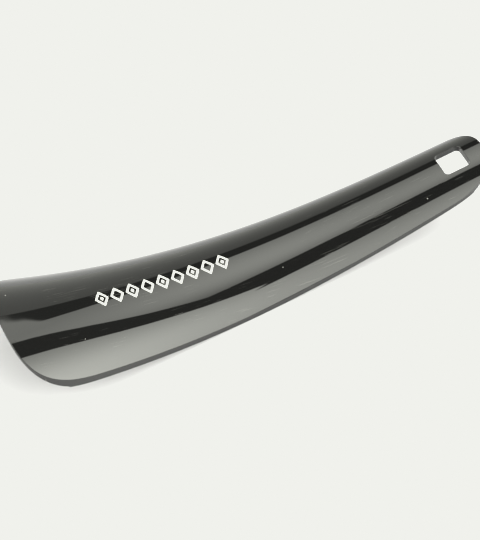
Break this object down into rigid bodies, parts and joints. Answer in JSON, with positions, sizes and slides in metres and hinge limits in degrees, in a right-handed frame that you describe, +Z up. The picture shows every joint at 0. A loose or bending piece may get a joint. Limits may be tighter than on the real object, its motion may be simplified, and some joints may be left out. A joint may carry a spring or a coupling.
{
  "type": "shoehorn",
  "caption": "Short one-piece gloss plastic shoehorn: arched blade, bowed along its length, narrowing to a handle with a rounded-square hanging hole and a small printed mark.",
  "frame": {"origin": "on the surface that the shoehorn lies on, hollow side down, under the middle of its length and width", "axes": "+X along the shoehorn from the blade's tip to the handle's end, +Y across it, +Z up out of the convex face"},
  "size_m": [0.18, 0.0462, 0.0256],
  "materials": {
    "body_plastic": "polished black injection-moulded plastic, very glossy, with fine handling scratches",
    "mark_ink": "opaque white pad-printed ink, semi-matt"
  },
  "bodies": {
    "root": {"moulded_body": "body_plastic", "printed_mark": "mark_ink"}
  },
  "joints": []
}
